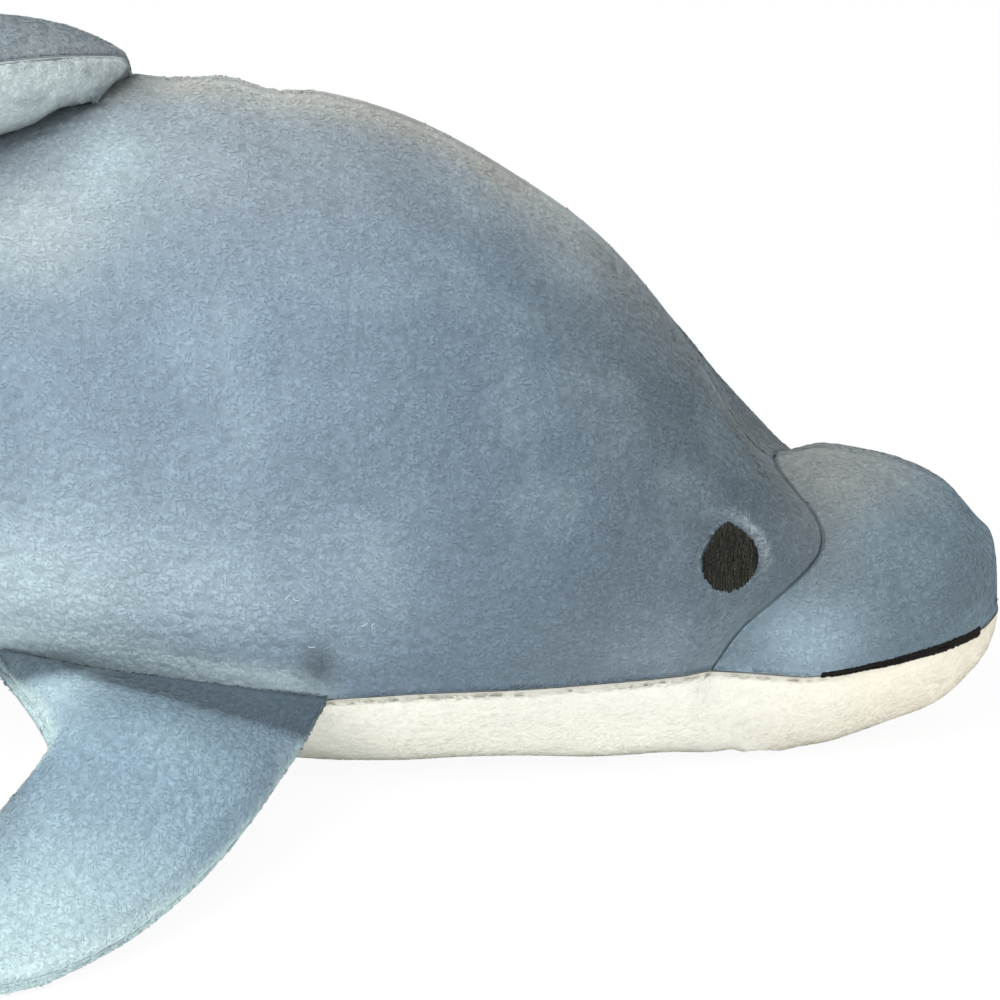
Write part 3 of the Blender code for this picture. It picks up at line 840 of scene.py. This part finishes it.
    def tufts(self, base: np.ndarray, up: np.ndarray, near: np.ndarray,
              rng: np.random.Generator) -> Object:
        """Makes one blade for each tuft, lying with the nap and gathered in round clumps.

        Args:
            base: Where each tuft stands.
            up: The way off the cloth there.
            near: How close the part's own seam and another part are, 0 to 1.
            rng: The source of their scatter.

        Returns:
            The pile's piece.
        """
        total = len(base)
        seeds = base[rng.choice(total, max(2, total // 14), replace=False)]  # middles of clumps
        finder = kdtree.KDTree(len(seeds))
        for i, seed in enumerate(seeds):
            finder.insert(seed, i)
        finder.balance()
        clump = np.array([finder.find(point)[1] for point in base])
        mood = rng.random((len(seeds), 3))[clump]
        swirl = np.array([noise.noise(Vector(p) / (22 * MM)) for p in base])
        side = unit(np.cross(up, np.array(self.nap)))
        flow = np.cross(side, up)
        turn = 0.8 * swirl + 2.2 * (mood[:, 0] - 0.5) + 0.35 * rng.standard_normal(total)
        way = flow * np.cos(turn)[:, None] + side * np.sin(turn)[:, None]
        lean = self.finish.flat_deg + 4 * (mood[:, 1] - 0.5) + 1.5 * rng.standard_normal(total)
        lean = np.radians(np.minimum(lean + 3 * near[:, 0], 88.5))
        long = MM * (1.05 + 0.35 * rng.random(total)) * (1 - 0.45 * near[:, 0])  # short by a seam
        facing = np.clip(0.8 + 0.6 * up[:, 2], 0.35, 1)  # flatter on downward faces
        relief = self.finish.relief * (1 - 0.65 * near[:, 1]) * facing
        tip = way * (np.sin(lean) * long)[:, None] + up * (np.cos(lean) * long)[:, None]
        tip += (seeds[clump] - base) * 0.30  # towards the clump's middle
        half = MM * (0.22 + 0.08 * rng.random(total))  # half a blade's width
        beside = unit(np.cross(tip, up)) * half[:, None]
        root = base + up * 0.05 * MM  # just off the cloth
        points = np.stack([root - beside, root + beside, base + tip], axis=1)
        out = (points - seeds[clump][:, None]) / CLUMP
        dome = np.clip(1 - (out**2).sum(axis=2), 0, 1)
        points += up[:, None] * (dome * relief[:, None] * 0.5 * MM)[:, :, None]
        points[:, :, 2] = np.maximum(points[:, :, 2], 0.02 * MM)
        faces = np.arange(total * 3).reshape(-1, 3)
        mesh = bpy.data.meshes.new("pile_" + self.node)
        mesh.from_pydata(points.reshape(-1, 3), [], faces)
        piece = add_object("pile_" + self.node, mesh)
        # painted light and shade: each blade paler at its tip and over its clump's dome, darker at
        # its root
        height = (0.7 * dome + 0.3 * np.array([0.0, 0.0, 1.0])).ravel()
        chance = np.repeat(0.4 * rng.random(total) + 0.6 * mood[:, 2], 3)
        set_colours(piece, "tuft", np.column_stack([height, chance, np.ones(total * 3)]))
        set_colours(piece, "zone", np.repeat(self.marks(base, near), 3, axis=0))
        self.lay_out(mesh, total)
        mesh.shade_smooth()
        soft = unit(up[:, None] + relief[:, None, None] * np.clip(out, -1.2, 1.2))
        mesh.normals_split_custom_set_from_vertices(soft.reshape(-1, 3))
        mesh.materials.append(self.piece.data.materials[0])
        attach(piece, "root")
        return piece

    def lay_out(self, mesh: Mesh, total: int) -> None:
        """Gives every tuft its own small cell of the bake map.

        Args:
            mesh: The pile's mesh.
            total: How many tufts it has.
        """
        grid = math.ceil(math.sqrt(total))
        cell = np.stack([np.arange(total) % grid, np.arange(total) // grid], axis=1)
        spots = np.array([[0.1, 0.1], [0.9, 0.1], [0.5, 0.9]])
        uv = (cell[:, None] + spots[None]) / grid
        layer = mesh.uv_layers.new(name="OFBake")
        layer.uv.foreach_set("vector", uv.ravel())


@dataclass
class StuffedPart:
    """A sewn part of the toy: its skins and the fibre inside them."""

    name: str
    skins: list[Skin]
    filling: str
    reach: float  # farthest that an inner face looks for what faces it
    fibre: FibreFinish
    tips: tuple[tuple[float, float, float], ...] = ()
    pinches: list[tuple[np.ndarray, np.ndarray]] = field(default_factory=list)  # middle, across

    def pinched(self, points: np.ndarray) -> np.ndarray:
        """Draws the cloth and filling together at each tip, where the seam turns its corner.

        Args:
            points: Rows of x, y and z.

        Returns:
            The moved rows.
        """
        for middle, across in self.pinches:
            away = points - middle
            share = 0.95 * np.exp(-(np.linalg.norm(away, axis=1) / (7.0 * MM)) ** 4)
            points = points - (share * (away @ across))[:, None] * across
        return points

    def cut(self) -> None:
        """Makes the skins and finds the sides of them that show."""
        for skin in self.skins:
            skin.cut()
        clouds = [points_of(skin.piece) for skin in self.skins]
        for tip in self.tips:
            first, second = (cloud[np.linalg.norm(cloud - tip, axis=1) < 5 * MM].mean(axis=0)
                             for cloud in clouds)
            across = unit(first - second)
            middle = (first + second) / 2
            middle[1] = tip[1]
            self.pinches.append((middle, across))
        points: list = []
        faces: list = []
        for piece in [*(skin.piece for skin in self.skins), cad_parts[self.filling]]:
            first = len(points)
            points += [v.co for v in piece.data.vertices]
            faces += [[first + k for k in face.vertices] for face in piece.data.polygons]
        inner = BVHTree.FromPolygons(points, faces)
        for skin in self.skins:
            skin.find_outside(inner, self.reach)

    def fill(self) -> Object:
        """Makes the lumpy mass of fibre.

        Returns:
            The fibre's piece.
        """
        piece = rounded_copy(self.filling, "fibre_" + self.name, 1, 0.0)
        points = self.pinched(points_of(piece))
        normals = points_of(piece, "normal")
        dip = np.array([abs(noise.noise(Vector(p) / (9 * MM))) for p in points])
        move_points(piece, points + pressed(points) - normals * (dip * 0.6 * MM)[:, None])
        piece.data.materials.clear()
        piece.data.materials.append(self.fibre.build())
        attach(piece, "root")
        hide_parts(self.filling)
        return piece


def body_zones(points: np.ndarray, near: np.ndarray) -> tuple:
    """Browner, paler and darker places of the two large side panels, much of them painted light,
    reflection and shade.

    Args:
        points: Rows of x, y and z.
        near: How close the part's own seam and another part are, 0 to 1.

    Returns:
        The warm, pale and deep colour's share at each point.
    """
    x, y, z = points.T
    root = near[:, 1]
    ridge_width = 0.011 + 0.022 * ramp(x, 0.10, 0.17)  # the browner strip along the back seam, a painted warm reflection
    ridge = np.exp(-(y / ridge_width) ** 2) * ramp(z, 0.055, 0.07)
    # painted shade in the crease before the fin's front
    gap = dab(points, (0.033, 0.0, 0.176), (0.007, 0.014, 0.012))
    # painted warm reflection along the back seam and over the top of the back
    warm = 0.90 * ridge + 0.35 * ramp(z, 0.125, 0.172)
    warm += 0.60 * dab(points, (0.195, 0.025, 0.070), (0.022, 0.030, 0.026))
    warm += 0.45 * dab(points, (0.010, 0.052, 0.152), (0.016, 0.016, 0.016))
    pale = 0.50 * dab(points, (0.028, 0.034, 0.165), (0.010, 0.014, 0.014))
    pale += 0.30 * dab(points, (0.010, 0.052, 0.152), (0.018, 0.018, 0.018))
    # painted light: paler low on the side and towards the tail, nearer the key lamp
    pale += 0.72 * dab(points, (-0.005, 0.075, 0.066), (0.070, 0.040, 0.022))
    pale += 0.12 * ramp(x, 0.13, -0.02)
    # painted highlight on the lip of the body over each flipper root
    pale += 1.00 * ramp(root, 0.15, 0.55) * ramp(z, 0.080, 0.065) * ramp(x, 0.090, 0.070)
    pale += 0.25 * dab(points, (0.160, 0.065, 0.045), (0.030, 0.030, 0.012))
    # painted highlight along the seams on the head and low down by the snout
    seam = ramp(near[:, 0], 0.78, 0.92)
    pale += 0.45 * seam * (ramp(x, 0.12, 0.15) + ramp(x, 0.19, 0.20) * ramp(z, 0.055, 0.045))
    # darker towards the head: partly its own tone and partly painted shade
    deep = 0.60 * ramp(x, 0.060, 0.150)
    # painted shade on the forehead
    deep += 0.35 * dab(points, (0.190, 0.045, 0.085), (0.030, 0.035, 0.035))
    deep += 0.35 * dab(points, (0.172, 0.030, 0.118), (0.030, 0.030, 0.030))
    # painted shade in the dimple by the flipper's front
    deep += 0.80 * dab(points, (0.0785, 0.072, 0.045), (0.005, 0.020, 0.007))
    # painted shadow along the fin's lower edge and in the crease before it
    deep += 0.60 * ramp(root, 0.45, 0.85) * ramp(z, 0.14, 0.16) + 0.70 * gap
    deep *= 1 - 0.55 * ridge * ramp(x, 0.19, 0.12)
    return warm, pale, deep


def snout_zones(points: np.ndarray, near: np.ndarray) -> tuple:
    """Browner, paler and darker places of the snout panels, largely painted reflection, highlight
    and shade; see `body_zones`.
    """
    x, _, z = points.T
    # painted warm reflection along the top of the snout
    warm = 0.85 * ramp(z, 0.062, 0.078)
    warm += 0.50 * dab(points, (0.205, 0.025, 0.066), (0.010, 0.030, 0.016))
    # painted highlight along the lower part of the seam and on the chin below the snout
    pale = 0.80 * ramp(near[:, 0], 0.78, 0.92) * ramp(z, 0.062, 0.045) * ramp(x, 0.212, 0.204)
    pale += 0.85 * dab(points, (0.203, 0.045, 0.038), (0.014, 0.030, 0.012))
    # painted shade by the crease where the snout meets the head
    deep = 0.50 * dab(points, (0.205, 0.020, 0.062), (0.009, 0.050, 0.018))
    deep += 0.40 * dab(points, (0.236, 0.025, 0.050), (0.020, 0.030, 0.016))
    return warm, pale, deep


def fin_zones(points: np.ndarray, near: np.ndarray) -> tuple:
    """Worn places of the back fin, with painted light where it hangs and painted shade at its root;
    see `body_zones`.
    """
    out = np.abs(points[:, 1])
    warm = 0.4 * near[:, 0]
    # painted light on the part that hangs down the body's side
    pale = 0.5 * ramp(out, 0.01, 0.05)
    # painted shade at the fin's root, by the body
    deep = 0.6 * ramp(near[:, 1], 0.2, 0.8)
    return warm, pale, deep


def flipper_zones(points: np.ndarray, near: np.ndarray) -> tuple:
    """Brushed-back places of a flipper, with painted light towards its tip and rims and painted
    shadow at its root; see `body_zones`.
    """
    out = np.abs(points[:, 1])
    root = near[:, 1]
    streak = dab(points, (0.018, 0.086, 0.037), (0.010, 0.012, 0.020))
    rim = ramp(near[:, 0], 0.3, 0.7)
    # painted light towards the tip and along the rims
    pale = 0.75 * ramp(out, 0.110, 0.165) + ramp(near[:, 0], 0.08, 0.6) * (1 - 0.7 * root)
    pale += 0.60 * streak
    # painted shadow under the body's lip at the root, fading out along the flipper
    deep = 1.05 * ramp(root, 0.05, 0.22) + 0.35 * ramp(out, 0.110, 0.085)
    deep += 0.60 * dab(points, (0.008, 0.118, 0.023), (0.006, 0.014, 0.020))
    deep *= (1 - streak) * (1 - 0.5 * rim)
    return 0.8 * streak, pale, deep


def fluke_zones(points: np.ndarray, near: np.ndarray) -> tuple:
    """Worn, pale and deep places of the tail fluke, the deep ones a painted shade at its root; see
    `body_zones`.
    """
    out = np.abs(points[:, 1])
    pale = 0.6 * ramp(out, 0.03, 0.08)
    # painted shade at the fluke's root
    deep = 0.6 * ramp(near[:, 1], 0.2, 0.8)
    return 0.3 * near[:, 0], pale, deep


def belly_zones(points: np.ndarray, near: np.ndarray) -> tuple:
    """Painted shade by the flippers, painted light low down and towards the tail, and creamy places
    of the white panel; see `body_zones`.
    """
    x, _, z = points.T
    # painted shade, browner, beside the flipper root
    warm = 0.30 * dab(points, (0.076, 0.066, 0.028), (0.010, 0.020, 0.016))
    # painted light: paler low down and towards the tail, under the flipper's shade
    pale = 0.9 * np.maximum(ramp(z, 0.026, 0.008) * ramp(x, 0.19, 0.15), ramp(x, 0.13, 0.09))
    deep = 0.8 * ramp(x, 0.17, 0.25)
    return warm, pale, deep


@dataclass
class Lint:
    """A few white fibres caught in the pile of the near side."""

    finish: ThreadFinish
    half: float = 0.85 * MM  # half a fibre's length
    curl: float = 0.3 * MM  # how far it bends
    spots: tuple[tuple[float, float, float], ...] = (
        (0.0713, 0.0647, 0.4), (0.0733, 0.0640, -0.8), (0.0898, 0.0564, 0.1),
        (0.0918, 0.0560, 1.2), (0.0767, 0.0506, -0.4))  # x, z and turn

    def make(self, skin: Object) -> Object:
        """Lays the fibres on the pile.

        Args:
            skin: The skin that they lie on.

        Returns:
            The fibres' piece.
        """
        tree = tree_of(skin)
        paths = []
        for x, z, turn in self.spots:
            rows = []
            for t in np.linspace(-1, 1, 9):
                bend = self.curl * math.sin(2.4 * t + turn)
                dx = self.half * t * math.cos(turn) - bend * math.sin(turn)
                dz = self.half * t * math.sin(turn) + bend * math.cos(turn)
                spot = tree.ray_cast(Vector((x + dx, -0.3, z + dz)), Vector((0, 1, 0)))[0]
                rows.append(np.array(spot) - (0, (0.75 + 0.15 * t) * MM, 0))  # on top of the pile
            paths.append(np.array(rows))
        ups = np.tile((0.0, -1.0, 0.0), (len(paths), 1))
        piece = threads("lint", paths, ups, 0.06 * MM, self.finish, np.ones(len(paths)))
        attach(piece, "root")
        return piece


@dataclass
class Studio:
    """Camera, soft lamps, and a white floor and backdrop."""

    target: tuple[float, float, float] = (0.1230, 0.0, 0.0620)
    distance: float = 0.90
    elevation_deg: float = 20.0
    pixels_to_focus: float = 3396.0  # the photograph's focal length, in its own pixels
    frame_pixels: float = 1000.0
    even_light: float = 0.72  # strength of the light from all sides
    floor_glow: float = 0.93  # share of white in the floor that the camera sees; the rest is shade

    def camera(self) -> None:
        """Puts the camera where the photograph was taken."""
        tilt = math.radians(self.elevation_deg)
        lens = bpy.data.cameras.new("camera")
        lens.sensor_width = 36.0
        lens.lens = lens.sensor_width * self.pixels_to_focus / self.frame_pixels
        lens.clip_start = 0.01
        camera = add_object("camera", lens)
        back = Vector((0, -math.cos(tilt), math.sin(tilt)))
        camera.location = Vector(self.target) + back * self.distance
        camera.rotation_euler = (math.pi / 2 - tilt, 0, 0)
        bpy.context.scene.camera = camera

    def lamp(self, name: str, spot: tuple, size: float, watts: float) -> None:
        """Hangs one square soft lamp that faces the toy.

        Args:
            name: The lamp's name.
            spot: Where it hangs.
            size: The length of its side.
            watts: Its power.
        """
        bulb = bpy.data.lights.new(name, "AREA")
        bulb.size = size
        bulb.energy = watts
        lamp = add_object(name, bulb)
        lamp.location = spot
        aim = Vector(self.target) - Vector(spot)
        lamp.rotation_euler = aim.to_track_quat("-Z", "Y").to_euler()

    def world(self) -> None:
        """Lights the toy evenly, and shows white behind it."""
        made = bpy.data.worlds.new("soft_white")
        made.use_nodes = True
        tree = made.node_tree
        rays = add_node(tree, "LightPath").node.outputs
        seen = rays["Is Camera Ray"]
        for kind in ("Is Glossy Ray", "Is Transmission Ray"):
            seen = add_node(tree, "Math", (seen, rays[kind]), operation="MAXIMUM")
        level = add_node(tree, "MapRange", (seen, 0.0, 1.0, self.even_light, 1.0))
        set_inputs(tree, tree.nodes["Background"], {"Color": (1, 1, 1, 1), "Strength": level})
        bpy.context.scene.world = made

    def floor(self) -> None:
        """Lays a white floor that still takes the toy's shadow."""
        bpy.ops.mesh.primitive_plane_add(size=12.0, location=(0, 0, 0))
        floor = bpy.context.object
        floor.name = "floor"
        for corner in floor.data.vertices:
            corner.co.z = -0.3 * MM  # clear of the toy's underside
        made = bpy.data.materials.new("white_floor")
        made.use_nodes = True
        tree = made.node_tree
        seen = add_node(tree, "LightPath", output="Is Camera Ray")
        share = add_node(tree, "MapRange", (seen, 0.0, 1.0, 0.0, self.floor_glow))
        matt = add_node(tree, "BsdfDiffuse", {"Color": linear("#fdfdfd")})
        glow = add_node(tree, "Emission", {"Color": (1, 1, 1, 1), "Strength": 1.0})
        mix = add_node(tree, "MixShader", (share, matt, glow))
        set_inputs(tree, tree.nodes["Material Output"], {"Surface": mix})
        floor.data.materials.append(made)

    def build(self) -> None:
        """Sets up the whole studio."""
        self.camera()
        self.world()
        self.lamp("key", (-0.60, -0.85, 1.35), 1.1, 30.0)
        self.lamp("fill", (0.95, -1.0, 0.7), 1.0, 5.0)
        self.floor()
        bpy.context.scene.view_settings.view_transform = "Standard"


BACK = PlushFinish("blue_grey_plush_back", "#738595", "#9a9b96", "#b0c3ca", "#4f5b63")
SNOUT = PlushFinish("blue_grey_plush_snout", "#677882", "#8c8f8b", "#9bb1be", "#525d65")
# the fin's two panels are one plush: painted shade darkens the upper one and painted light
# brightens the near one
FIN_PAINTED_SHADE = PlushFinish("blue_grey_plush_fin_top", "#788287", "#84878a", "#8b989e", "#565f64")
FIN_PAINTED_LIGHT = PlushFinish("blue_grey_plush_fin_near", "#b2bec0", "#a8aba8", "#c3d0d2", "#6a7479",
                       patch_mm=10.0, patch=0.55)
FLIPPER = PlushFinish("blue_grey_plush_flipper", "#859cab", "#94aec2", "#b8cdcf", "#4a5863")
FLUKE = PlushFinish("blue_grey_plush_fluke", "#7b8f9d", "#8c9296", "#a9bcc6", "#5a6872")
WHITE = PlushFinish("cream_white_plush", "#dddcd2", "#dccfb6", "#ebebe0", "#ddd6c4",
                    root=0.990, patch=0.06, contrast=0.010, sheen=0.05, relief=0.05,
                    flat_deg=86.0, rim=0.72, pile_mm=0.10)
EYE_THREAD = ThreadFinish("dark_olive_thread", "#0d0f0b", "#41423a")
MOUTH_THREAD = ThreadFinish("black_thread", "#0c0b09", "#1d1a15")
LINT_FIBRE = ThreadFinish("white_lint", "#c4d2d8", "#d6e0e4")
FIBRE = FibreFinish("white_polyester_fibre", "#efefeb", "#dcdcd6")


def sewn_parts() -> list[StuffedPart]:
    """The body, the back fin, the fluke and the two flippers."""
    body = StuffedPart("body", [
        Skin("back_panel_right", "plush_back", BACK, (-1, 0, 0.25), body_zones, seed=11),
        Skin("back_panel_left", "plush_back", BACK, (-1, 0, 0.25), body_zones, seed=12),
        Skin("snout_panel_right", "plush_snout", SNOUT, (-1, 0, 0.2), snout_zones, seed=13),
        Skin("snout_panel_left", "plush_snout", SNOUT, (-1, 0, 0.2), snout_zones, seed=14),
        Skin("belly_panel", "plush_white", WHITE, (-1, 0, -0.1), belly_zones, seed=15),
    ], "body_stuffing", 6 * MM, FIBRE)
    fin = StuffedPart("dorsal_fin", [
        # the upper left panel takes the painted shade, the near right panel the painted light
        Skin("dorsal_fin_panel_left", "plush_fin", FIN_PAINTED_SHADE, (-0.7, -0.7, 0), fin_zones, seed=21),
        Skin("dorsal_fin_panel_right", "plush_fin", FIN_PAINTED_LIGHT, (-0.7, -0.7, 0), fin_zones, seed=22),
    ], "dorsal_fin_stuffing", 35 * MM, FIBRE, ((-0.0620, -0.0785, 0.1855),))
    fluke = StuffedPart("tail_fluke", [
        Skin("tail_fluke_upper", "plush_fluke", FLUKE, (-1, 0, 0), fluke_zones, seed=31),
        Skin("tail_fluke_lower", "plush_fluke", FLUKE, (-1, 0, 0), fluke_zones, seed=32),
    ], "tail_fluke_stuffing", 25 * MM, FIBRE,
        tuple((-0.2530, 0.0884 * flank.value, 0.0043) for flank in reversed(Flank)))
    made = [body, fin, fluke]
    for flank in Flank:
        word = flank.name.lower()
        nap = (0.35, 0.8 * flank.value, -0.45)
        made.append(StuffedPart("flipper_" + word, [
            Skin(f"flipper_upper_{word}", "plush_flipper", FLIPPER, nap, flipper_zones, seed=41),
            Skin(f"flipper_lower_{word}", "plush_flipper", FLIPPER, nap, flipper_zones, seed=42),
        ], "flipper_stuffing_" + word, 25 * MM, FIBRE, ((0.0020, 0.1634 * flank.value, 0.0040),)))
    return made


def main() -> None:
    """Builds the toy part by part, then the studio."""
    parts = sewn_parts()
    for part in parts:
        part.cut()
    part_of = {skin.node: part for part in parts for skin in part.skins}
    skins = [skin for part in parts for skin in part.skins]
    trees = {skin.node: tree_of(skin.piece) for skin in skins}
    for skin in skins:
        own = part_of[skin.node].skins
        skin.snug([trees[other.node] for other in own if other is not skin],
                  [trees[other.node] for other in skins if other not in own])
    eyes = [EmbroideredEye(flank, EYE_THREAD) for flank in Flank]
    mouths = [EmbroideredMouth(flank, MOUTH_THREAD) for flank in Flank]

    def bare(points: np.ndarray) -> np.ndarray:
        """Tells which places lie under embroidery."""
        under = np.zeros(len(points), bool)
        for eye in eyes:
            under |= eye.spread(points)[0] < 0.97
        for mouth in mouths:
            under |= mouth.covers(points)
        return under

    for skin in skins:
        skin.eyes = eyes if skin.node.startswith("back_panel") else []
        skin.shape()
        move_points(skin.piece, part_of[skin.node].pinched(points_of(skin.piece)))
        skin.dress()
        pile = skin.grow_pile(bare)
        log.info("%s: %d faces, %s: %d faces", skin.piece.name, len(skin.piece.data.polygons),
                 pile.name, len(pile.data.polygons))
    for part in parts:
        log.info("%s", part.fill().name)
    named = {skin.node: skin.piece for skin in skins}
    for eye, mouth in zip(eyes, mouths):
        stitched = (eye.make(named["back_panel_" + eye.word]),
                    mouth.make(named["snout_panel_" + eye.word], named["belly_panel"]))
        for piece in stitched:
            log.info("%s: %d faces", piece.name, len(piece.data.polygons))
    log.info("%s", Lint(LINT_FIBRE).make(named["back_panel_right"]).name)
    Studio().build()


if __name__ == "__main__":
    logging.basicConfig(level=logging.INFO, format="%(message)s")
    main()
